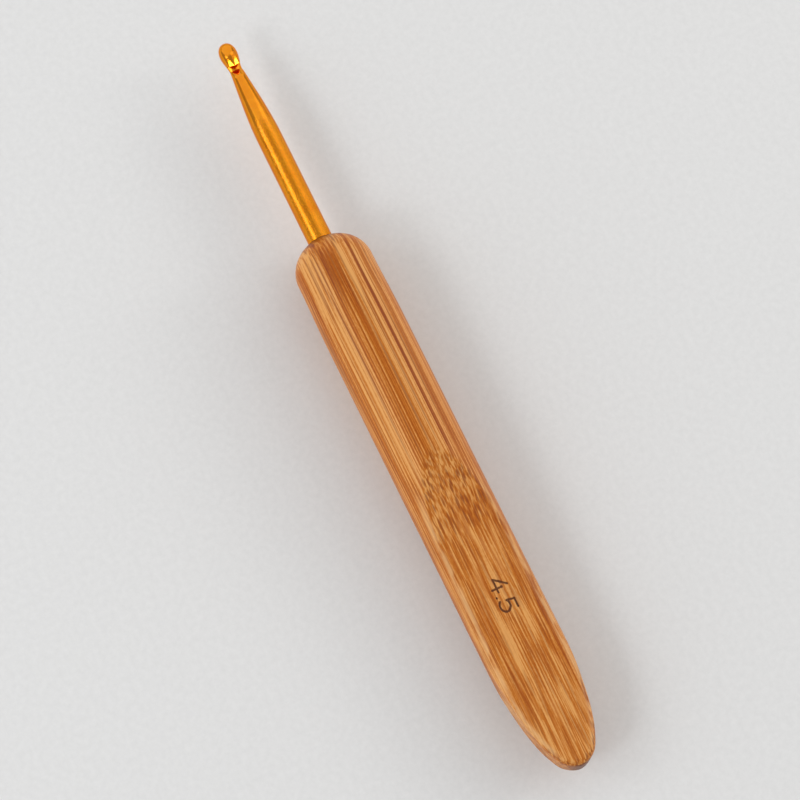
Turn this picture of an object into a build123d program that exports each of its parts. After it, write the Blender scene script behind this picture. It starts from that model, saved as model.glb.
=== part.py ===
from build123d import *
from math import atan, cos, radians, sin, sqrt, tan
import os

# Crochet hook: an anodised aluminium hook whose turned-down tang is glued into a carbonised bamboo handle.
# +X runs from the handle's tail to the hook's tip. The mouth of the hook and the thumb flat face +Z.
# The origin is under the middle of the object, on the surface that the handle's round belly rests on.

# Whole object
LENGTH = 144.0
HANDLE_LENGTH = 103.8

# Hook. Names ending in _AT are distances back from the tip, and heights are above its long axis.
GAUGE = 4.5  # diameter of the shank, which sets the size of the stitch
HEAD_DIAMETER = 3.27
HEAD_AT = 2.3
NECK_DIAMETER = 2.34
NECK_AT = 5.5
CONE_AT = 9.9
CONE_DIAMETER = 3.3
CONE_FLARE = 0.02  # slope of the cone's side where it leaves the neck
SHANK_AT = 19.5
CHIN_AT = 5.1
CHIN_HEIGHT = 1.25
CHIN_WIDTH = 2.38
HEAD_TAPER = 9.4  # degrees that each side of the head leans in towards the neck
FLANK_SWEEP = 26.0  # degrees between the hook's axis and the edge of the face beside the chin
FLANK_SLOPE = 28.0  # degrees that this face falls away from the level
THROAT_FLOOR = 0.3
THROAT_ROOF_AT = 4.1
THROAT_ROOF_HEIGHT = 0.7
THROAT_END_SLANT = 0.2
THROAT_FLOOR_AT = 5.4
THROAT_MOUTH_AT = 7.0
THROAT_MOUTH_HEIGHT = 1.3
THROAT_RADIUS = 0.22
THROAT_RAMP_RADIUS = 1.2
CORE_CLEARANCE = 0.1  # of the turned core, where it starts inside the head
TANG_LENGTH = 30.0
TANG_DIAMETER = 4.15  # turned down and roughened for the glue
TANG_CHAMFER = 0.4
SHOULDER_DEPTH = 0.28  # from the handle's apex, so just clear of the rim of its bore

# Glue between the tang and the bore
GLUE_GAP = 0.2
GLUE_PLUG = 1.0
GLUE_RECESS = 1.0

# Handle. Names ending in _FROM_TAIL are distances from its tail end, and heights are above its long axis.
HANDLE_DIAMETER = 14.6
REST_WIDTH = 1.6  # of the shallow land along the belly that the handle lies on
DOME_LENGTH = 6.2
DOME_RADIUS = 7.1
SWELL_LENGTH = 18.0
FLAT_TAIL_HEIGHT = 2.8
FLAT_FRONT_HEIGHT = 4.4
FLAT_FROM_TAIL = 48.6
RAMP_ANGLE = 15.0
RAMP_RADIUS = 60.0
TAIL_OUTLINE = [(32.0, 7.7), (22.0, 7.3), (12.4, 6.35), (7.3, 5.4), (4.2, 4.4), (1.3, 2.75), (0.0, 0.0)]
RIM_RADIUS = 1.2

# Size number burnt into the thumb flat
MARK_HEIGHT = 2.9
MARK_WIDTH = 6.0
MARK_STROKE = 0.42
MARK_DEPTH = 0.15
MARK_FROM_TAIL = 32.0
MARK_ACROSS = -0.45
DOT_SIZE = 0.56

# Worked out
AXIS_HEIGHT = sqrt((HANDLE_DIAMETER / 2) ** 2 - (REST_WIDTH / 2) ** 2)
TIP = LENGTH / 2
TAIL = -LENGTH / 2
FRONT = TAIL + HANDLE_LENGTH
TANG_END = FRONT - TANG_LENGTH
BORE_RADIUS = TANG_DIAMETER / 2 + GLUE_GAP
BORE_END = TANG_END - GLUE_PLUG
FLAT_SLOPE = atan((FLAT_FRONT_HEIGHT - FLAT_TAIL_HEIGHT) / FLAT_FROM_TAIL)
OVERSHOOT = 2.0  # how far a cutting outline runs past what it cuts

LONG_AXIS = Axis((0, 0, AXIS_HEIGHT), (1, 0, 0))
SIDE = Plane((0, 0, AXIS_HEIGHT), x_dir=(1, 0, 0), z_dir=(0, -1, 0))
PLAN = Plane((0, 0, AXIS_HEIGHT))
MARK_LEVEL = AXIS_HEIGHT + FLAT_TAIL_HEIGHT + MARK_FROM_TAIL * tan(FLAT_SLOPE)
MARK_FACE = Plane(
    (TAIL + MARK_FROM_TAIL, MARK_ACROSS, MARK_LEVEL),
    x_dir=(-cos(FLAT_SLOPE), 0, -sin(FLAT_SLOPE)),
    z_dir=(-sin(FLAT_SLOPE), 0, cos(FLAT_SLOPE)),
)


def back(distance, height=0.0):
    """A point that far back from the tip and that high above the long axis, in the SIDE plane."""
    return (TIP - distance, height)


def mark_point(across, up):
    """A point of the size number in MARK_FACE, from its lower left corner, as shares of its size."""
    return ((across - 0.5) * MARK_WIDTH, (up - 0.5) * MARK_HEIGHT)


def flank_plane(side):
    """Plane of the face beside the chin, facing out. side is 1 towards +Y and -1 towards -Y."""
    sweep = radians(FLANK_SWEEP)
    slope = radians(FLANK_SLOPE)
    outward = Vector(-sin(sweep) * sin(slope), side * cos(sweep) * sin(slope), cos(slope))
    return Plane((TIP - CHIN_AT, 0, AXIS_HEIGHT + CHIN_HEIGHT), z_dir=outward)


# Hook
with BuildPart() as hook:
    # As seen from the side, the head keeps its height back to the chin.
    with BuildSketch(SIDE):
        with BuildLine():
            nose = EllipticalCenterArc(
                back(HEAD_AT), HEAD_AT, HEAD_DIAMETER / 2, start_angle=0, arc_size=90
            )
            Polyline(nose @ 1, back(CHIN_AT, CHIN_HEIGHT), back(CHIN_AT), nose @ 0)
        make_face()
    revolve(axis=LONG_AXIS)

    # As seen from the mouth side, it narrows to the neck.
    with BuildSketch(PLAN):
        with BuildLine():
            chin_half = CHIN_WIDTH / 2
            wide_half = chin_half + (CHIN_AT + OVERSHOOT) * tan(radians(HEAD_TAPER))
            Polyline(
                back(CHIN_AT, -chin_half),
                back(-OVERSHOOT, -wide_half),
                back(-OVERSHOOT, wide_half),
                back(CHIN_AT, chin_half),
                close=True,
            )
        make_face()
    extrude(amount=HEAD_DIAMETER, both=True, mode=Mode.INTERSECT)

    # Two faces swept back from the chin make it a keel.
    for side in (1, -1):
        split(bisect_by=flank_plane(side), keep=Keep.BOTTOM)

    # Neck, cone, shank and tang in one turned profile, which starts inside the head.
    with BuildSketch(SIDE):
        with BuildLine():
            core = Line(back(HEAD_AT), back(HEAD_AT, NECK_DIAMETER / 2 - CORE_CLEARANCE))
            throat = Line(core @ 1, back(NECK_AT, NECK_DIAMETER / 2))
            cone = Spline(
                throat @ 1,
                back(CONE_AT, CONE_DIAMETER / 2),
                back(SHANK_AT, GAUGE / 2),
                tangents=[(-1, CONE_FLARE), (-1, 0)],
            )
            Polyline(
                cone @ 1,
                (FRONT - SHOULDER_DEPTH, GAUGE / 2),
                (FRONT - SHOULDER_DEPTH, TANG_DIAMETER / 2),
                (TANG_END + TANG_CHAMFER, TANG_DIAMETER / 2),
                (TANG_END, TANG_DIAMETER / 2 - TANG_CHAMFER),
                (TANG_END, 0),
                core @ 0,
            )
        make_face()
    revolve(axis=LONG_AXIS)

    # The throat undercuts the chin and runs out along a ramp.
    with BuildSketch(SIDE):
        with BuildLine():
            roof = Line(back(CHIN_AT, CHIN_HEIGHT), back(THROAT_ROOF_AT, THROAT_ROOF_HEIGHT))
            end = Line(roof @ 1, back(THROAT_ROOF_AT + THROAT_END_SLANT, THROAT_FLOOR))
            floor = Line(end @ 1, back(THROAT_FLOOR_AT, THROAT_FLOOR))
            ramp = Line(floor @ 1, back(THROAT_MOUTH_AT, THROAT_MOUTH_HEIGHT))
            Polyline(
                ramp @ 1,
                back(THROAT_MOUTH_AT + OVERSHOOT, THROAT_MOUTH_HEIGHT + OVERSHOOT),
                back(CHIN_AT - OVERSHOOT, THROAT_MOUTH_HEIGHT + OVERSHOOT),
                roof @ 0,
            )
        make_face()
        fillet([vertices().sort_by_distance(end @ share)[0] for share in (0, 1)], THROAT_RADIUS)
        fillet(vertices().sort_by_distance(ramp @ 0)[0], THROAT_RAMP_RADIUS)
    extrude(amount=HEAD_DIAMETER, both=True, mode=Mode.SUBTRACT)
hook.part.label = "hook"


# Glue: a thin sleeve round the tang and a plug behind its end
with BuildPart() as glue:
    with BuildSketch(SIDE):
        with BuildLine():
            Polyline(
                (FRONT - GLUE_RECESS, TANG_DIAMETER / 2),
                (FRONT - GLUE_RECESS, BORE_RADIUS),
                (BORE_END, BORE_RADIUS),
                (BORE_END, 0),
                (TANG_END, 0),
                (TANG_END, TANG_DIAMETER / 2 - TANG_CHAMFER),
                (TANG_END + TANG_CHAMFER, TANG_DIAMETER / 2),
                close=True,
            )
        make_face()
    revolve(axis=LONG_AXIS)
glue.part.label = "glue"


# Handle
with BuildPart() as handle:
    # Outline as seen from above, narrowed at the tail to a blunt point
    with BuildSketch(PLAN):
        with BuildLine():
            half = Spline(*[(TAIL + x, y) for x, y in TAIL_OUTLINE], tangents=[(-1, 0), (0, -1)])
            side_line = Line(half @ 0, (FRONT + OVERSHOOT, (half @ 0).Y))
            mirror([half, side_line], about=Plane.XZ)
            Line(side_line @ 1, ((side_line @ 1).X, -(side_line @ 1).Y))
        make_face()
    extrude(amount=HANDLE_DIAMETER, both=True)

    # Flats above and below, each reached by a gentle ramp, as seen from the side
    with BuildSketch(SIDE):
        with BuildLine():
            flat = Line(
                (TAIL - OVERSHOOT, FLAT_TAIL_HEIGHT - OVERSHOOT * tan(FLAT_SLOPE)),
                (TAIL + FLAT_FROM_TAIL, FLAT_FRONT_HEIGHT),
            )
            rise = HANDLE_DIAMETER - FLAT_FRONT_HEIGHT
            ramp = Line(flat @ 1, flat @ 1 + Vector(rise / tan(radians(RAMP_ANGLE)), rise))
            top = Polyline(ramp @ 1, (FRONT + OVERSHOOT, HANDLE_DIAMETER), (FRONT + OVERSHOOT, 0))
            mirror([flat, ramp, top], about=Plane.XZ)
            Line(flat @ 0, ((flat @ 0).X, -(flat @ 0).Y))
        make_face()
        for corner in (ramp @ 0, Vector((ramp @ 0).X, -(ramp @ 0).Y)):
            fillet(vertices().sort_by_distance(corner)[0], RAMP_RADIUS)
    extrude(amount=HANDLE_DIAMETER, both=True, mode=Mode.INTERSECT)

    # Rim of the flats eased by hand, right round the tail
    flats = faces().filter_by(Axis.Z, tolerance=RAMP_ANGLE / 2)
    rims = flats.edges().filter_by(lambda edge: (edge @ 0.5).X < TAIL + FLAT_FROM_TAIL / 2)
    fillet(rims, RIM_RADIUS)

    # Turned outside with a domed front
    with BuildSketch(SIDE):
        with BuildLine():
            dome = EllipticalCenterArc(
                (FRONT - DOME_LENGTH, 0), DOME_LENGTH, DOME_RADIUS, start_angle=0, arc_size=90
            )
            swell = Spline(
                dome @ 1, (FRONT - SWELL_LENGTH, HANDLE_DIAMETER / 2), tangents=[(-1, 0), (-1, 0)]
            )
            Polyline(
                swell @ 1, (TAIL - OVERSHOOT, HANDLE_DIAMETER / 2), (TAIL - OVERSHOOT, 0), dome @ 0
            )
        make_face()
    revolve(axis=LONG_AXIS, mode=Mode.INTERSECT)

    # Land along the belly
    split(bisect_by=Plane.XY, keep=Keep.TOP)

    # Blind bore for the tang
    with BuildSketch(Plane((BORE_END, 0, AXIS_HEIGHT), x_dir=(0, 1, 0), z_dir=(1, 0, 0))):
        Circle(BORE_RADIUS)
    extrude(amount=FRONT - BORE_END + OVERSHOOT, mode=Mode.SUBTRACT)

    # Size number, read from the hook's end
    with BuildSketch(MARK_FACE):
        with BuildLine():
            Polyline(mark_point(0.26, 1.0), mark_point(0.0, 0.3), mark_point(0.4, 0.3))
            Line(mark_point(0.28, 0.62), mark_point(0.28, 0.0))
            Polyline(mark_point(0.98, 1.0), mark_point(0.73, 1.0), mark_point(0.69, 0.52))
            ThreePointArc(mark_point(0.69, 0.52), mark_point(1.0, 0.33), mark_point(0.67, 0.1))
        trace(line_width=MARK_STROKE)
        with Locations(mark_point(0.53, 0.06)):
            Rectangle(DOT_SIZE, DOT_SIZE)
    extrude(amount=MARK_DEPTH, both=True, mode=Mode.SUBTRACT)
handle.part.label = "handle"

os.makedirs("parts", exist_ok=True)
for piece in (hook, glue, handle):
    export_step(piece.part, f"parts/{piece.part.label}.step")
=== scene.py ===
from math import cos, pi, radians, sin, tan

import bmesh
import bpy
import numpy as np
from mathutils import Matrix, Vector


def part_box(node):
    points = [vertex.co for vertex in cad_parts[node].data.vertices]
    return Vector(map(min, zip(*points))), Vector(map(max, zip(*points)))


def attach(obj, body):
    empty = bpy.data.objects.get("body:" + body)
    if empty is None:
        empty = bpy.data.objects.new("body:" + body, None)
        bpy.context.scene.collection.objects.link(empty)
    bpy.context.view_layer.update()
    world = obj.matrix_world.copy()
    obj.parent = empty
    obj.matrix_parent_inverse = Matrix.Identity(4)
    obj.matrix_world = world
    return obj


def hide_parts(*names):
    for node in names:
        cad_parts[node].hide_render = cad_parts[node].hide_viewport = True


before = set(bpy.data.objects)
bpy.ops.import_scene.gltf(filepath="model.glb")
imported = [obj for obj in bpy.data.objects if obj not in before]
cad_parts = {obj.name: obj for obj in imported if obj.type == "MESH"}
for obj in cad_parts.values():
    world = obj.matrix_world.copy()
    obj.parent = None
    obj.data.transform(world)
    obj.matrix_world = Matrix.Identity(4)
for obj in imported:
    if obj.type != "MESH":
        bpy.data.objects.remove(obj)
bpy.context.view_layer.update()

# Crochet hook: an anodised aluminium hook glued into a carbonised bamboo handle. The frame is in metres,
# with +X from the tail to the tip and +Z up. The shapes are worked out in millimetres, and add_mesh
# scales them.
MM = 0.001

hook_low, hook_high = (np.array(corner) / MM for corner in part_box("hook"))
handle_low, handle_high = (np.array(corner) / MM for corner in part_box("handle"))
AXIS_HEIGHT = (hook_low[2] + hook_high[2]) / 2
TIP = hook_high[0]
TANG_END = hook_low[0]
TAIL = handle_low[0]
RIM = handle_high[0]  # rim of the bore, just behind the dome's apex
SHANK_RADIUS = (hook_high[2] - hook_low[2]) / 2
HANDLE_RADIUS = (handle_high[1] - handle_low[1]) / 2

# Hook, as distances back from the tip
HEAD_AT = 2.3
HEAD_RADIUS = 1.635
NOSE_BLUNTNESS = 2.25
CREST_AT = 3.1  # where the head's top turns down towards the chin
NECK_AT = 5.5
NECK_RADIUS = 1.17
CONE_SLOPE = 0.102  # of the cone where it leaves the neck
SHANK_AT = 19.5
CHIN_AT = 5.1
CHIN_HEIGHT = 1.25
FLANK_AT = 4.92  # this and the height are a point on the ridge where the two flanks meet
FLANK_HEIGHT = 1.28
FLANK_SWEEP = radians(29.7)
FLANK_SLOPE = radians(32)
FLANK_BLEND = 0.05
CHIN_FADE = 0.7  # how far behind the chin the head's height fades out
FLANK_FADE = 3.0  # how fast the flanks end behind the chin
THROAT_ROOF = [(5.35, 4.0), (5.25, 1.1), (4.36, 0.62)]  # back from the tip, and above the long axis
THROAT_FLOOR = [(4.42, 0.5), (5.34, 0.5), (6.9, 1.47), (8.5, 2.47), (8.5, 4.0)]
THROAT_RADIUS = 0.2
THROAT_BLEND = 0.16
THROAT_CROWN = 0.3  # the throat falls by this times the square of the distance across
TANG_RADIUS = 2.075
TANG_CHAMFER = 0.4
CHAMFER_SINE = 0.707  # of its 45 degrees
SHOULDER_CLEARANCE = 0.03  # of the shoulder in front of the bore's rim
SHOULDER_AT = TIP - RIM - SHOULDER_CLEARANCE
FINE_HEAD = 9  # the mesh is fine from here to the tip

# Handle
DOME_LENGTH = 6.2
DOME_RADIUS = 7.1
APEX = RIM + 0.327  # where the dome would end, had the bore not cut it off
SWELL_LENGTH = 18.0
FLAT_TAIL_HEIGHT = 2.8
FLAT_FRONT_HEIGHT = 4.4
FLAT_LENGTH = 48.6
RAMP_SLOPE = tan(radians(15))
RAMP_BLEND = 1.6
TAIL_OUTLINE = [(32.0, 7.7), (22.0, 7.3), (12.4, 6.35), (7.3, 5.4), (4.2, 4.4), (1.3, 2.75), (0.0, 0.0)]
EDGE_BLEND = (1.2, 0.22)  # how far the flat's edge is rounded, near the tail and up the ramp
EDGE_BLEND_AT = (FLAT_LENGTH - 20, FLAT_LENGTH + 3)  # from the tail, where it goes from one to the other
CREASE_BLEND = 0.1
FLAT_STEEPNESS = 0.96  # scales the flats' field, so that it is near to a true distance on the ramp
BORE_RADIUS = 2.275
BORE_BLEND = 0.12
BORE_PAST_TANG = 1.0

# Bamboo
TAIL_ROUND = 23.0  # the tail's outline is near to half an ellipse this long
TAIL_HALF_WIDTH = 7.35
# painted highlight: a pale line along the flats' rounded long edges, where they would catch the light
EDGE_HIGHLIGHT_REACH = 0.7  # of the pale line, to each side of its middle
EDGE_HIGHLIGHT_CORE = 0.1  # within this it is palest
EDGE_HIGHLIGHT_IN_FROM_SIDE = 0.1  # its middle, in from where the flat leaves the round side
EDGE_HIGHLIGHT_IN_FROM_TAIL = 0.5  # its middle, in from the tail's outline
EDGE_HIGHLIGHT_COMES = (1, 5)  # from the tail, where it fades in
EDGE_HIGHLIGHT_GOES = (48, 56)  # and out again, up the ramp
PITH_BELOW = 1.6  # middle of the grain's layers, below the long axis
FRONT_FROM = FLAT_LENGTH + 4  # from the tail, where the round front's look starts to show
FRONT_FULL = FLAT_LENGTH + 14

# Bands along the round front: middle across the handle, half width and how much darker. Most are grain; the
# wide pale band at 4.5 is a painted sheen, and the dark bands from 0.45 to 2.4 are grain deepened by painted
# shade.
FRONT_GRAIN_AND_PAINTED_LIGHT_BANDS = [
    (1.7, 1.6, 0.07),
    (0.45, 0.4, 0.06),
    (2.4, 0.35, 0.05),
    (4.5, 1.3, -0.12),
    (-1.4, 1.0, -0.05),
    (-3.0, 0.28, 0.20),
    (-3.65, 0.25, -0.10),
    (-4.7, 0.35, 0.13),
    (-6.1, 0.7, -0.07),
    (6.0, 0.35, -0.06),
    (6.8, 0.35, 0.05),
]

# Size number on the thumb flat
MARK_HEIGHT = 2.9
MARK_WIDTH = 6.0
MARK_STROKE = 0.36
MARK_DEPTH = 0.12
MARK_EDGE = 0.05  # half the width over which a stroke's edge slopes
MARK_MARGIN = 0.35  # of finer mesh round the number
MARK_FROM_TAIL = 32.0
MARK_ACROSS = -0.45


# ---------------------------------------------------------------- signed fields, in millimetres


def smooth_max(a, b, blend):
    """The larger of two fields, rounded over where they meet."""
    share = np.clip(0.5 + 0.5 * (a - b) / blend, 0, 1)
    return b + (a - b) * share + blend * share * (1 - share)


def hermite(x, x0, y0, slope0, x1, y1, slope1):
    """Cubic from (x0, y0) to (x1, y1) with the given slopes, flat beyond both ends."""
    t = np.clip((x - x0) / (x1 - x0), 0, 1)
    span = x1 - x0
    return (
        y0 * (1 + 2 * t) * (1 - t) ** 2
        + slope0 * span * t * (1 - t) ** 2
        + y1 * t**2 * (3 - 2 * t)
        + slope1 * span * t**2 * (t - 1)
    )


def curve_through(points, per_span=6):
    """Smooth polyline through a few points (centripetal spline)."""
    points = np.array(points, float)
    first, last = 2 * points[0] - points[1], 2 * points[-1] - points[-2]
    padded = np.vstack([first, points, last])
    out = []
    for p0, p1, p2, p3 in zip(padded, padded[1:], padded[2:], padded[3:]):
        knots = np.cumsum([0] + [np.linalg.norm(b - a) ** 0.5 for a, b in ((p0, p1), (p1, p2), (p2, p3))])
        t = np.linspace(knots[1], knots[2], per_span, endpoint=False)[:, None]
        a1 = (knots[1] - t) / (knots[1] - knots[0]) * p0 + (t - knots[0]) / (knots[1] - knots[0]) * p1
        a2 = (knots[2] - t) / (knots[2] - knots[1]) * p1 + (t - knots[1]) / (knots[2] - knots[1]) * p2
        a3 = (knots[3] - t) / (knots[3] - knots[2]) * p2 + (t - knots[2]) / (knots[3] - knots[2]) * p3
        b1 = (knots[2] - t) / (knots[2] - knots[0]) * a1 + (t - knots[0]) / (knots[2] - knots[0]) * a2
        b2 = (knots[3] - t) / (knots[3] - knots[1]) * a2 + (t - knots[1]) / (knots[3] - knots[1]) * a3
        out.append((knots[2] - t) / (knots[2] - knots[1]) * b1 + (t - knots[1]) / (knots[2] - knots[1]) * b2)
    return np.vstack(out + [points[-1:]])


def polygon_distance(u, v, corners):
    """Signed distance in a plane to a closed polygon, negative inside."""
    nearest, inside = 1e9, False
    for (u0, v0), (u1, v1) in zip(corners, np.roll(corners, -1, axis=0)):
        du, dv = u1 - u0, v1 - v0
        along = np.clip(((u - u0) * du + (v - v0) * dv) / (du * du + dv * dv), 0, 1)
        nearest = np.minimum(nearest, np.hypot(u - u0 - along * du, v - v0 - along * dv))
        if dv:
            inside = inside ^ (((v0 <= v) != (v1 <= v)) & (u < u0 + (v - v0) * du / dv))
    return np.where(inside, -nearest, nearest)


def hook_field(x, y, z):
    back = TIP - x
    up = z - AXIS_HEIGHT
    # width as seen from the mouth side
    head = hermite(back, HEAD_AT, HEAD_RADIUS, 0, NECK_AT, NECK_RADIUS, 0)
    cone = hermite(back, NECK_AT, NECK_RADIUS, CONE_SLOPE, SHANK_AT, SHANK_RADIUS, 0)
    width = np.where(back < NECK_AT, head, cone)
    # seen from the side, the head's top runs straight down to the chin
    fall = (HEAD_RADIUS - CHIN_HEIGHT) / (CHIN_AT - CREST_AT)
    crest = HEAD_RADIUS - fall * np.clip(back - CREST_AT, 0, CHIN_AT - CREST_AT)
    over = hermite(back, CHIN_AT, 1, 0, CHIN_AT + CHIN_FADE, 0, 0)
    height = np.where(up > 0, np.maximum(width, width + (crest - width) * over), width)
    tube = (np.sqrt((y / width) ** 2 + (up / height) ** 2) - 1) * width
    lean = np.clip(up, 0, None) / np.maximum(np.hypot(y, up), 1e-6)
    nose_length = HEAD_AT + (CREST_AT - HEAD_AT) * lean**2
    nose_along = np.abs(back / nose_length - 1) ** NOSE_BLUNTNESS
    nose_across = (np.hypot(y, up) / HEAD_RADIUS) ** NOSE_BLUNTNESS
    nose = ((nose_along + nose_across) ** (1 / NOSE_BLUNTNESS) - 1) * HEAD_RADIUS
    body = np.where(back < nose_length, nose, tube)

    # two faces swept back from the chin make the head a beak
    radius = np.hypot(y, up)
    for side in (1, -1):
        flank = (
            sin(FLANK_SWEEP) * sin(FLANK_SLOPE) * (back - FLANK_AT)
            + cos(FLANK_SWEEP) * sin(FLANK_SLOPE) * side * y
            + cos(FLANK_SLOPE) * (up - FLANK_HEIGHT)
        )
        flank = flank - FLANK_FADE * np.maximum(back - CHIN_AT, 0)
        body = smooth_max(body, np.minimum(flank, radius - NECK_RADIUS), FLANK_BLEND)

    # throat under the chin
    corners = np.array(THROAT_ROOF + THROAT_FLOOR)
    throat = polygon_distance(back, up + THROAT_CROWN * y**2, corners) - THROAT_RADIUS
    body = smooth_max(body, -throat, THROAT_BLEND)

    # shoulder, tang and its chamfered end
    tang = np.maximum(radius - TANG_RADIUS, TANG_END - x)
    tang = np.maximum(tang, (radius - TANG_RADIUS + TANG_END - x + TANG_CHAMFER) * CHAMFER_SINE)
    shank = np.maximum(body, back - SHOULDER_AT)
    return np.where(back < NECK_AT, body, np.minimum(shank, np.maximum(tang, SHANK_AT - back)))


def flat_height(from_tail):
    """Height of the thumb flat and its ramp above the long axis."""
    slope = (FLAT_FRONT_HEIGHT - FLAT_TAIL_HEIGHT) / FLAT_LENGTH
    flat = FLAT_TAIL_HEIGHT + slope * from_tail
    ramp = FLAT_FRONT_HEIGHT + RAMP_SLOPE * (from_tail - FLAT_LENGTH)
    return smooth_max(flat, ramp, RAMP_BLEND)


TAIL_MIRROR = [(x, -y) for x, y in TAIL_OUTLINE[-2::-1]]
BEYOND = 200  # from the tail, so past the hook's tip
BESIDE = TAIL_OUTLINE[0][1]  # outside the round handle
TAIL_CLOSING = [(BEYOND, -BESIDE), (BEYOND, BESIDE)]
TAIL_POLYGON = np.vstack([curve_through(TAIL_OUTLINE + TAIL_MIRROR), TAIL_CLOSING])


def handle_field(x, y, z):
    from_tail = x - TAIL
    up = z - AXIS_HEIGHT
    radius = np.hypot(y, up)
    # turned outside with a domed front
    swell = hermite(APEX - x, DOME_LENGTH, DOME_RADIUS, 0, SWELL_LENGTH, HANDLE_RADIUS, 0)
    dome = (np.hypot((x - APEX + DOME_LENGTH) / DOME_LENGTH, radius / DOME_RADIUS) - 1) * DOME_LENGTH
    turned = np.where(x > APEX - DOME_LENGTH, dome, radius - swell)
    # outline of the tail, flats and ramps
    outline = polygon_distance(from_tail, y, TAIL_POLYGON)
    height = flat_height(from_tail)
    flats = (np.abs(up) - height) * FLAT_STEEPNESS
    blend = hermite(from_tail, EDGE_BLEND_AT[0], EDGE_BLEND[0], 0, EDGE_BLEND_AT[1], EDGE_BLEND[1], 0)
    solid = smooth_max(smooth_max(turned, outline, CREASE_BLEND), flats, blend)
    # bore and the land along the belly
    bore = np.maximum(radius - BORE_RADIUS, (TANG_END - BORE_PAST_TANG) - x)
    solid = smooth_max(solid, -bore, BORE_BLEND)
    return np.maximum(solid, -z)


# ---------------------------------------------------------------- meshing


def axis_steps(*stretches):
    """Grid planes along one axis, from (start, end, step) stretches that follow each other."""
    planes = [np.arange(start, end, step) for start, end, step in stretches]
    return np.concatenate(planes + [[stretches[-1][1]]])


def surface_net(field, xs, ys, zs, rounds=6):
    """Quads on the surface where field is 0, one vertex in each grid cell that it crosses, drawn on to it."""
    value = field(xs[:, None, None], ys[None, :, None], zs[None, None, :])
    inside = value < 0
    axes = (xs, ys, zs)
    cells = tuple(n - 1 for n in value.shape)
    total = np.zeros(cells + (3,))
    count = np.zeros(cells)
    for axis in range(3):
        others = [a for a in range(3) if a != axis]
        for i in (0, 1):
            for j in (0, 1):
                low = [slice(0, cells[a]) for a in range(3)]
                low[others[0]] = slice(i, cells[others[0]] + i)
                low[others[1]] = slice(j, cells[others[1]] + j)
                high = list(low)
                high[axis] = slice(1, cells[axis] + 1)
                v0, v1 = value[tuple(low)], value[tuple(high)]
                crossed = (v0 < 0) != (v1 < 0)
                where = np.nonzero(crossed)
                t = v0[where] / (v0[where] - v1[where])
                point = np.zeros((len(t), 3))
                point[:, axis] = axes[axis][where[axis]] + t * np.diff(axes[axis])[where[axis]]
                point[:, others[0]] = axes[others[0]][where[others[0]] + i]
                point[:, others[1]] = axes[others[1]][where[others[1]] + j]
                total[where] += point
                count[where] += 1
    active = count > 0
    number = np.full(cells, -1)
    number[active] = np.arange(active.sum())
    points = total[active] / count[active][:, None]
    quads = []
    for axis in range(3):
        others = [a for a in range(3) if a != axis]
        low = [slice(1, n) for n in cells]
        low[axis] = slice(0, cells[axis])
        high = list(low)
        high[axis] = slice(1, cells[axis] + 1)
        leaving = inside[tuple(low)] & ~inside[tuple(high)]
        entering = ~inside[tuple(low)] & inside[tuple(high)]
        for mask, flip in ((leaving, axis == 1), (entering, axis != 1)):
            at = np.array(np.nonzero(mask)).T
            at[:, others] += 1
            ring = []
            for i, j in ((1, 1), (0, 1), (0, 0), (1, 0)):
                cell = at.copy()
                cell[:, others[0]] -= i
                cell[:, others[1]] -= j
                ring.append(number[tuple(cell.T)])
            quads.append(np.array(ring[::-1] if flip else ring).T)
    quads = np.vstack(quads)
    edges = np.vstack([quads[:, [k, (k + 1) % 4]] for k in range(4)])
    neighbours = np.bincount(edges[:, 0], minlength=len(points))[:, None]
    for turn in range(rounds):
        if turn < rounds - 2:
            mean = np.zeros_like(points)
            for a in range(3):
                mean[:, a] = np.bincount(edges[:, 0], points[edges[:, 1], a], len(points))
            points = 0.5 * points + 0.5 * mean / neighbours
        points = drawn_on(field, points)
    return points, quads


def drawn_on(field, points, reach=0.01, least_slope=0.05, most_move=0.08):
    """Points moved along the field's slope on to its zero surface."""
    value = field(*points.T)
    ahead = [field(*(points + reach * unit).T) for unit in np.eye(3)]
    slope = (np.stack(ahead, axis=1) - value[:, None]) / reach
    steep = np.maximum((slope**2).sum(1), least_slope)[:, None]
    move = -value[:, None] * slope / steep
    return points + np.clip(move, -most_move, most_move)


def add_mesh(name, points, faces, material, body="root"):
    mesh = bpy.data.meshes.new(name)
    mesh.from_pydata((points * MM).tolist(), [], faces.tolist())
    mesh.validate()
    mesh.polygons.foreach_set("use_smooth", [True] * len(mesh.polygons))
    mesh.materials.append(material)
    mesh.update()
    piece = bpy.data.objects.new(name, mesh)
    bpy.context.scene.collection.objects.link(piece)
    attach(piece, body)
    return piece


# ---------------------------------------------------------------- size number


def mark_strokes():
    """Straight strokes of the number 4.5, as pairs of points in mm from the number's middle."""
    four = [[(0.26, 1.0), (0.0, 0.3), (0.4, 0.3)], [(0.28, 0.62), (0.28, 0.0)]]
    dot = [[(0.53, 0.05), (0.535, 0.05)]]
    bowl = [(0.69, 0.52)]
    for turn in np.linspace(radians(118), radians(-142), 22):
        bowl.append((0.815 + 0.185 * cos(turn), 0.31 + 0.31 * sin(turn)))
    five = [[(0.98, 1.0), (0.73, 1.0), (0.69, 0.52)], bowl]
    strokes = []
    for line in four + dot + five:
        line = [((across - 0.5) * MARK_WIDTH, (up - 0.5) * MARK_HEIGHT) for across, up in line]
        strokes += list(zip(line, line[1:]))
    return strokes


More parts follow.
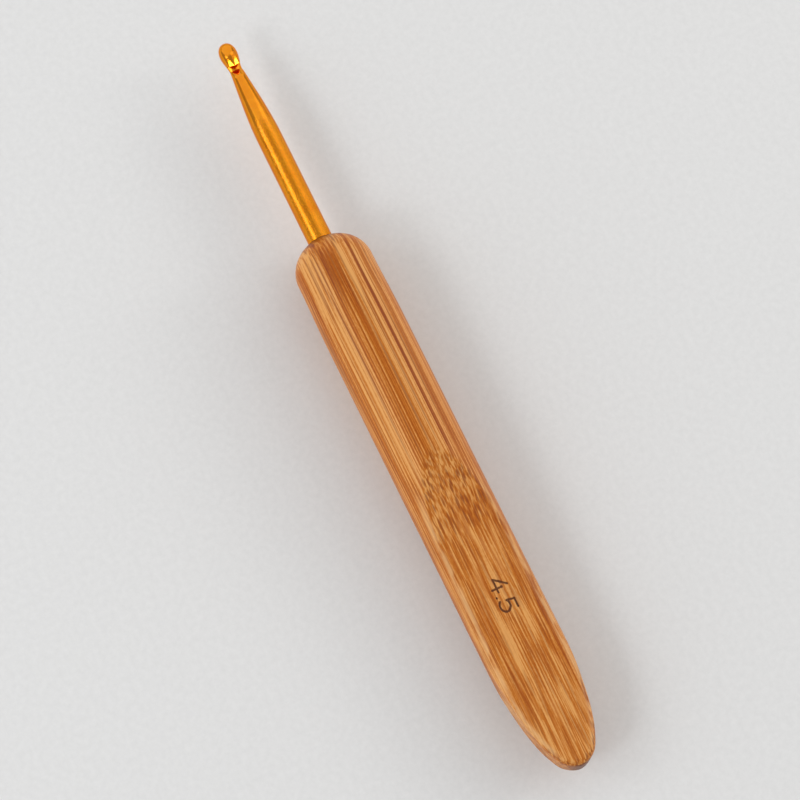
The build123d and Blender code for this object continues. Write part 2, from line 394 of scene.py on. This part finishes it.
def mark_depth(points):
    """How deep each point of the flat is burnt, from 0 to 1. The number reads from the hook's end."""
    across = -(points[:, 0] - TAIL - MARK_FROM_TAIL)
    up = -(points[:, 1] - MARK_ACROSS)
    nearest = np.full(len(points), 1e9)
    for (u0, v0), (u1, v1) in mark_strokes():
        du, dv = u1 - u0, v1 - v0
        along = np.clip(((across - u0) * du + (up - v0) * dv) / (du * du + dv * dv), 0, 1)
        nearest = np.minimum(nearest, np.hypot(across - u0 - along * du, up - v0 - along * dv))
    edge = np.clip((MARK_STROKE / 2 + MARK_EDGE - nearest) / (2 * MARK_EDGE), 0, 1)
    return edge * edge * (3 - 2 * edge)


def burn_mark(piece):
    """Cuts the size number into the flat and stores how burnt each vertex is."""
    bm = bmesh.new()
    bm.from_mesh(piece.data)
    half = np.array([MARK_WIDTH, MARK_HEIGHT]) / 2 + MARK_MARGIN
    centre = np.array([TAIL + MARK_FROM_TAIL, MARK_ACROSS])

    def on_patch(vertex):
        place = np.array(vertex.co) / MM
        return place[2] > AXIS_HEIGHT and (abs(place[:2] - centre) < half).all()

    patch = {v for v in bm.verts if on_patch(v)}
    edges = [e for e in bm.edges if e.verts[0] in patch and e.verts[1] in patch]
    bmesh.ops.subdivide_edges(bm, edges=edges, cuts=4, use_grid_fill=True)
    bm.verts.ensure_lookup_table()
    points = np.array([v.co for v in bm.verts]) / MM
    burnt = np.where(points[:, 2] > AXIS_HEIGHT, mark_depth(points), 0)
    points[:, 2] -= MARK_DEPTH * burnt
    for vertex, place in zip(bm.verts, points * MM):
        vertex.co = place
    bm.to_mesh(piece.data)
    bm.free()
    attribute = piece.data.attributes.new("burnt", "FLOAT", "POINT")
    attribute.data.foreach_set("value", burnt.astype(np.float32))
    piece.data.polygons.foreach_set("use_smooth", [True] * len(piece.data.polygons))
    piece.data.update()


# ---------------------------------------------------------------- materials


class Shader:
    """A material's node tree, with short calls to add nodes and join them."""

    def __init__(self, name):
        self.material = bpy.data.materials.new(name)
        self.material.use_nodes = True
        self.tree = self.material.node_tree
        self.principled = self.tree.nodes["Principled BSDF"]

    def set(self, node, key, value):
        if isinstance(value, bpy.types.NodeSocket):
            self.tree.links.new(value, node.inputs[key])
        else:
            node.inputs[key].default_value = value

    def node(self, kind, inputs=None, **settings):
        node = self.tree.nodes.new(kind)
        for key, value in settings.items():
            setattr(node, key, value)
        for key, value in (inputs or {}).items():
            self.set(node, key, value)
        return node

    def surface(self, **inputs):
        for key, value in inputs.items():
            self.set(self.principled, key.replace("_", " "), value)

    def math(self, operation, a, b=0.0, clamp=False):
        node = self.node("ShaderNodeMath", {0: a, 1: b}, operation=operation)
        node.use_clamp = clamp
        return node.outputs[0]

    def mix(self, share, a, b):
        node = self.node("ShaderNodeMix", data_type="RGBA")
        self.set(node, 0, share)
        self.set(node, 6, a)
        self.set(node, 7, b)
        return node.outputs[2]

    def ramp(self, share, stops):
        node = self.node("ShaderNodeValToRGB", {0: share})
        elements = node.color_ramp.elements
        elements[0].position, elements[0].color = stops[0]
        elements[1].position, elements[1].color = stops[-1]
        for position, color in stops[1:-1]:
            elements.new(position).color = color
        return node.outputs[0]

    def between(self, value, low, high):
        node = self.node("ShaderNodeMapRange", {0: value, 1: low, 2: high}, clamp=True)
        node.interpolation_type = "SMOOTHSTEP"
        return node.outputs[0]

    def noise(self, vector, scale, detail=2.0, roughness=0.5):
        inputs = {"Vector": vector, "Scale": scale, "Detail": detail, "Roughness": roughness}
        return self.node("ShaderNodeTexNoise", inputs).outputs[0]

    def cells(self, vector):
        """Distance from the middle of the nearest of many scattered cells."""
        return self.node("ShaderNodeTexVoronoi", {"Vector": vector, "Scale": 1.0}).outputs["Distance"]

    def stretched(self, vector, scale):
        return self.node("ShaderNodeVectorMath", {0: vector, 1: scale}, operation="MULTIPLY").outputs[0]


def rgb(r, g, b):
    return (r, g, b, 1.0)


def grey(value):
    return (value, value, value, 1.0)


def bamboo_grain(s, place, axes):
    """Where a point lies in the grain: along the fibres, across them, and out from the middle layer."""
    # the height that the dome loses is added back, so that the lines run straight on over it
    reach = {1: (APEX - DOME_LENGTH) * MM, 2: APEX * MM}
    dome = s.node("ShaderNodeMapRange", {0: axes.outputs[0], **reach}, clamp=True)
    lost = s.math("POWER", s.math("MULTIPLY", dome.outputs[0], DOME_RADIUS * MM), 2.0)
    up = s.math("SUBTRACT", axes.outputs[2], (AXIS_HEIGHT - PITH_BELOW) * MM)
    depth = s.math("SQRT", s.math("ADD", s.math("MULTIPLY", up, up), lost))
    inner = s.node("ShaderNodeCombineXYZ", {0: axes.outputs[0], 1: axes.outputs[1], 2: depth}).outputs[0]

    # fibres wander a little along the handle
    drift = {"Vector": s.stretched(place, (22, 60, 60)), "Scale": 1.0, "Detail": 1.0}
    wander = s.node("ShaderNodeTexNoise", drift).outputs["Color"]
    shift = s.node("ShaderNodeVectorMath", {0: wander, 1: (0.5, 0.5, 0.5)}, operation="SUBTRACT")
    shift = s.stretched(shift.outputs[0], (0, 0.0004, 0.0004))
    return s.node("ShaderNodeVectorMath", {0: inner, 1: shift}, operation="ADD").outputs[0]


def front_grain_and_painted_light(s, grain):
    """How much darker the bands along the round front make a point: grain, with a painted sheen and painted
    shade among them. Below 0 is lighter.
    """
    across = s.node("ShaderNodeSeparateXYZ", {0: grain}).outputs[1]
    bands = 0.0
    for middle, half_width, darker in FRONT_GRAIN_AND_PAINTED_LIGHT_BANDS:
        off = s.math("ABSOLUTE", s.math("SUBTRACT", across, middle * MM))
        band = s.between(off, half_width * MM * 1.25, half_width * MM * 0.6)
        bands = s.math("ADD", s.math("MULTIPLY", band, darker), bands)
    return bands


def painted_edge_highlight(s, place, axes):
    """How strongly a painted highlight lightens the flats' rounded long edges, where they would catch the
    light, from 0 to 1.
    """
    along = axes.outputs[0]
    # the edge lies where the flat leaves the round side, or at the tail's outline
    slope = (FLAT_FRONT_HEIGHT - FLAT_TAIL_HEIGHT) / FLAT_LENGTH
    flat = s.math("ADD", s.math("MULTIPLY", along, slope), (FLAT_TAIL_HEIGHT - TAIL * slope) * MM)
    edge = s.math("SUBTRACT", (HANDLE_RADIUS * MM) ** 2, s.math("MULTIPLY", flat, flat))
    edge = s.math("SUBTRACT", s.math("SQRT", edge), EDGE_HIGHLIGHT_IN_FROM_SIDE * MM)
    reach = {1: TAIL * MM, 2: (TAIL + TAIL_ROUND) * MM, 3: 1.0, 4: 0.0}
    short_of = s.node("ShaderNodeMapRange", {0: along, **reach})
    outline = s.math("SUBTRACT", 1.0, s.math("POWER", short_of.outputs[0], 2.0))
    outline = s.math("MULTIPLY", s.math("SQRT", outline), TAIL_HALF_WIDTH * MM)
    outline = s.math("SUBTRACT", outline, EDGE_HIGHLIGHT_IN_FROM_TAIL * MM)
    off = s.math("SUBTRACT", s.math("ABSOLUTE", axes.outputs[1]), s.math("MINIMUM", edge, outline))
    edge_highlight = s.between(s.math("ABSOLUTE", off), EDGE_HIGHLIGHT_REACH * MM, EDGE_HIGHLIGHT_CORE * MM)
    comes = s.between(along, (TAIL + EDGE_HIGHLIGHT_COMES[0]) * MM, (TAIL + EDGE_HIGHLIGHT_COMES[1]) * MM)
    goes = s.between(along, (TAIL + EDGE_HIGHLIGHT_GOES[1]) * MM, (TAIL + EDGE_HIGHLIGHT_GOES[0]) * MM)
    edge_highlight = s.math("MULTIPLY", s.math("MULTIPLY", edge_highlight, comes), goes)
    # between the two it is broken up unevenly
    broken = s.noise(s.stretched(place, (220, 900, 900)), 1.0)
    return s.math("MULTIPLY", edge_highlight, s.between(broken, 0.3, 0.6))


def bamboo_material():
    """Carbonised bamboo as a solid: bundles of fibre run along X, so a slanted cut shows short dashes."""
    s = Shader("carbonised_bamboo")
    place = s.node("ShaderNodeTexCoord").outputs["Object"]
    normal = s.node("ShaderNodeSeparateXYZ", {0: s.node("ShaderNodeTexCoord").outputs["Normal"]})
    end_grain = s.math("ABSOLUTE", normal.outputs[0])
    axes = s.node("ShaderNodeSeparateXYZ", {0: place})
    grain = bamboo_grain(s, place, axes)
    front = s.between(axes.outputs[0], (TAIL + FRONT_FROM) * MM, (TAIL + FRONT_FULL) * MM)
    behind = s.math("SUBTRACT", 1.0, front)

    broad = s.noise(s.stretched(grain, (7, 420, 420)), 1.0, 3.0, 0.6)
    fibres = s.noise(s.stretched(grain, (14, 3300, 3300)), 1.0, 1.0, 0.5)
    speck = s.noise(s.stretched(place, (1500, 4200, 4200)), 1.0, 2.0, 0.6)
    patchy = s.noise(s.stretched(place, (160, 500, 500)), 1.0, 2.0, 0.6)
    long_cell = s.cells(s.stretched(grain, (22, 1800, 1800)))
    short_cell = s.cells(s.stretched(grain, (130, 2000, 2000)))
    long_bundle = s.between(long_cell, 0.50, 0.20)
    short_bundle = s.between(short_cell, 0.56, 0.22)

    tone = s.math("ADD", s.math("MULTIPLY", s.between(broad, 0.3, 0.7), 0.13), 0.285)
    tone = s.math("ADD", tone, s.math("MULTIPLY", s.between(fibres, 0.34, 0.66), 0.24))
    tone = s.math("ADD", tone, s.math("MULTIPLY", s.math("SUBTRACT", speck, 0.5), 0.22))
    # grain bands on the round front, with a painted sheen and painted shade among them
    tone = s.math("SUBTRACT", tone, s.math("MULTIPLY", front_grain_and_painted_light(s, grain), front))
    colour = s.ramp(
        tone,
        [
            (0.22, rgb(0.27, 0.050, 0.002)),
            (0.34, rgb(0.41, 0.100, 0.004)),
            (0.46, rgb(0.52, 0.165, 0.018)),
            (0.62, rgb(0.71, 0.335, 0.095)),
        ],
    )
    # bundles are fine lines along the round front, and dashes where the flat and its ramp cut across them
    cut = s.between(end_grain, 0.02, 0.16)
    dashes = s.math("MULTIPLY", s.math("ADD", s.math("MULTIPLY", cut, 0.40), 0.36), behind)
    dashes = s.math("MULTIPLY", dashes, s.between(patchy, 0.15, 0.45))
    colour = s.mix(s.math("MULTIPLY", short_bundle, dashes), colour, rgb(0.24, 0.056, 0.012))
    lines = s.math("MULTIPLY", s.math("MULTIPLY", long_bundle, front), s.between(broad, 0.25, 0.6))
    colour = s.mix(s.math("MULTIPLY", lines, 0.7), colour, rgb(0.23, 0.046, 0.004))
    pale = s.math("MULTIPLY", s.between(short_cell, 0.5, 0.85), behind)
    colour = s.mix(s.math("MULTIPLY", pale, 0.35), colour, rgb(0.62, 0.28, 0.085))
    # painted highlight along the flats' rounded long edges
    edge_highlight = painted_edge_highlight(s, place, axes)
    colour = s.mix(s.math("MULTIPLY", edge_highlight, 0.55), colour, rgb(0.78, 0.46, 0.19))
    # cut ends of the fibres drink more stain
    stained = s.math("MULTIPLY", s.between(end_grain, 0.72, 1.0), 0.85)
    colour = s.mix(stained, colour, rgb(0.13, 0.032, 0.007))
    burnt = s.node("ShaderNodeAttribute", attribute_name="burnt").outputs["Fac"]
    colour = s.mix(s.math("MULTIPLY", burnt, 0.88), colour, rgb(0.075, 0.020, 0.007))

    height = s.math("ADD", s.math("MULTIPLY", long_bundle, -0.5), s.math("MULTIPLY", fibres, 0.8))
    bump = s.node("ShaderNodeBump", {"Height": height, "Strength": 0.45, "Distance": 0.00005})
    rough = s.math("ADD", s.math("MULTIPLY", fibres, 0.16), s.math("MULTIPLY", burnt, 0.25))
    rough = s.math("ADD", rough, 0.32, clamp=True)
    s.surface(Base_Color=colour, Roughness=rough, Specular_IOR_Level=0.25, Normal=bump.outputs[0])
    return s.material


def gold_material():
    """Gold anodised aluminium, drawn along its length, so with fine lines and a grainy satin shine."""
    s = Shader("gold_anodised")
    place = s.node("ShaderNodeTexCoord").outputs["Object"]
    along = s.node("ShaderNodeSeparateXYZ", {0: place}).outputs[0]
    polished = s.between(along, (TIP - SHANK_AT + 1) * MM, (TIP - SHANK_AT + 5) * MM)
    lines = s.noise(s.stretched(place, (500, 7000, 7000)), 1.0, 3.0, 0.6)
    grain = s.noise(s.stretched(place, (1800, 4200, 4200)), 1.0, 3.0, 0.65)
    wear = s.noise(place, 420.0, 3.0, 0.6)
    colour = s.ramp(wear, [(0.3, rgb(0.89, 0.275, 0.006)), (0.7, rgb(0.95, 0.345, 0.011))])
    height = s.math("ADD", s.math("MULTIPLY", lines, 0.5), s.math("MULTIPLY", grain, 0.8))
    height = s.math("MULTIPLY", height, s.math("SUBTRACT", 1.0, s.math("MULTIPLY", polished, 0.88)))
    bump = s.node("ShaderNodeBump", {"Height": height, "Strength": 0.8, "Distance": 0.00006})
    rough = s.math("ADD", s.math("MULTIPLY", lines, 0.10), s.math("MULTIPLY", polished, -0.08))
    rough = s.math("ADD", rough, 0.14)
    s.surface(Base_Color=colour, Metallic=1.0, Roughness=rough, Normal=bump.outputs[0])
    s.surface(Specular_Tint=rgb(1.0, 0.55, 0.25), Coat_Weight=0.28, Coat_Roughness=0.06)
    return s.material


def glue_material():
    s = Shader("cured_adhesive")
    place = s.node("ShaderNodeTexCoord").outputs["Object"]
    cloud = s.noise(place, 1500.0, 3.0, 0.6)
    colour = s.ramp(cloud, [(0.35, rgb(0.42, 0.30, 0.14)), (0.65, rgb(0.60, 0.48, 0.28))])
    bump = s.node("ShaderNodeBump", {"Height": cloud, "Strength": 0.3, "Distance": 0.00005})
    s.surface(Base_Color=colour, Roughness=0.35, Normal=bump.outputs[0])
    return s.material


def floor_material():
    s = Shader("pale_paper")
    place = s.node("ShaderNodeTexCoord").outputs["Object"]
    speck = s.noise(place, 900.0, 3.0, 0.6)
    colour = s.ramp(speck, [(0.3, grey(0.70)), (0.7, grey(0.74))])
    bump = s.node("ShaderNodeBump", {"Height": speck, "Strength": 0.08, "Distance": 0.0001})
    s.surface(Base_Color=colour, Roughness=0.85, Normal=bump.outputs[0])
    return s.material


# ---------------------------------------------------------------- pieces


def make_hook():
    # coarse along the tang and the shank, fine at the shoulder and the head
    shoulder = TIP - SHOULDER_AT
    head = TIP - FINE_HEAD
    xs = axis_steps(
        (TANG_END - 0.5, shoulder - 0.5, 0.9),
        (shoulder - 0.5, shoulder + 0.5, 0.06),
        (shoulder + 0.5, head, 0.45),
        (head, TIP + 0.2, 0.05),
    )
    across = SHANK_RADIUS + 0.3
    ys = axis_steps((-across, across, 0.056))
    points, quads = surface_net(hook_field, xs, ys, ys + AXIS_HEIGHT)
    piece = add_mesh("hook_metal", points, quads, gold_material())
    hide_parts("hook")


def make_handle():
    xs = axis_steps((TAIL - 0.6, RIM + 0.9, 0.3))
    ys = axis_steps((-HANDLE_RADIUS - 0.5, HANDLE_RADIUS + 0.5, 0.25))
    points, quads = surface_net(handle_field, xs, ys, ys + AXIS_HEIGHT)
    points[:, 2] = np.maximum(points[:, 2], 0)
    piece = add_mesh("handle_bamboo", points, quads, bamboo_material())
    burn_mark(piece)
    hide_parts("handle")


def dress_glue():
    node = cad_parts["glue"]
    node.data.materials.clear()
    node.data.materials.append(glue_material())


def make_stage():
    mesh = bpy.data.meshes.new("floor")
    half = 2.5
    corners = [(-half, -half, 0), (half, -half, 0), (half, half, 0), (-half, half, 0)]
    mesh.from_pydata(corners, [], [(0, 1, 2, 3)])
    mesh.materials.append(floor_material())
    floor = bpy.data.objects.new("floor", mesh)
    bpy.context.scene.collection.objects.link(floor)


# ---------------------------------------------------------------- camera and light

VIEW_DISTANCE = 0.65
VIEW_SIDE = radians(9.5)  # towards +Y, so that side shows more
VIEW_TAIL = radians(13)
VIEW_TURN = radians(26.4)  # how far the hook leans left of upright in the picture
VIEW_WIDTH = 0.1391  # of the picture, at the object
TARGET = Vector((-0.0007, 0, 0.0075))
WARM = (1.0, 0.985, 0.96)
COOL = (0.97, 0.985, 1.0)


def aim(thing, place, target, up):
    """Points a camera's or a lamp's -Z at a target, with up as near as can be to its +Y."""
    back = (place - target).normalized()
    right = up.cross(back).normalized()
    true_up = back.cross(right)
    turn = Matrix((right, true_up, back)).transposed()
    thing.matrix_world = Matrix.Translation(place) @ turn.to_4x4()


def add_camera():
    lens = bpy.data.cameras.new("camera")
    camera = bpy.data.objects.new("camera", lens)
    bpy.context.scene.collection.objects.link(camera)
    towards = Vector((-sin(VIEW_TAIL), sin(VIEW_SIDE) * cos(VIEW_TAIL), cos(VIEW_SIDE) * cos(VIEW_TAIL)))
    along = Vector((1, 0, 0))
    along = (along - along.project(towards)).normalized()
    up = Matrix.Rotation(-VIEW_TURN, 3, towards) @ along
    aim(camera, TARGET + towards * VIEW_DISTANCE, TARGET, up)
    lens.sensor_width = 36
    lens.lens = 36 * VIEW_DISTANCE / VIEW_WIDTH
    lens.clip_start = 0.01
    lens.clip_end = 20
    bpy.context.scene.camera = camera


def add_softbox(name, place, width, height, radiance, colour, glossy=True):
    lamp = bpy.data.lights.new(name, "AREA")
    lamp.shape = "RECTANGLE"
    lamp.size = width
    lamp.size_y = height
    lamp.energy = radiance * pi * width * height
    lamp.color = colour
    box = bpy.data.objects.new(name, lamp)
    bpy.context.scene.collection.objects.link(box)
    aim(box, Vector(place), TARGET, Vector((1, 0, 0)))
    box.visible_glossy = glossy


def add_world(strength, colour):
    world = bpy.data.worlds.new("studio")
    world.use_nodes = True
    background = world.node_tree.nodes["Background"]
    background.inputs[0].default_value = rgb(*colour)
    background.inputs[1].default_value = strength
    bpy.context.scene.world = world


def light_studio():
    # name, place, width, height, radiance and colour
    add_softbox("softbox_right", (0.0, -0.72, 0.62), 1.2, 1.1, 0.43, WARM)
    add_softbox("softbox_left", (0.21, 0.55, 0.50), 0.30, 0.26, 2.0, COOL)
    add_softbox("softbox_front", (0.80, -0.03, 0.56), 2.1, 1.15, 0.50, WARM)
    # the head's flanks mirror these two along the view's direction, to within about 2 mm of their places
    add_softbox("kicker_right", (-0.103, -0.79, 0.356), 0.20, 0.18, 8.0, WARM)
    add_softbox("kicker_left", (-0.171, 0.6265, 0.577), 0.20, 0.18, 8.0, COOL)
    # these two lift the wood and the floor, and don't show in the metal
    add_softbox("fill_right", (0.0, -0.85, 0.36), 0.8, 1.1, 1.1, WARM, glossy=False)
    add_softbox("fill_left", (0.0, 0.85, 0.36), 0.8, 1.1, 1.5, COOL, glossy=False)
    add_world(0.40, (1.0, 1.0, 1.0))


make_hook()
make_handle()
dress_glue()
make_stage()
add_camera()
light_studio()
bpy.context.scene.view_settings.view_transform = "Standard"
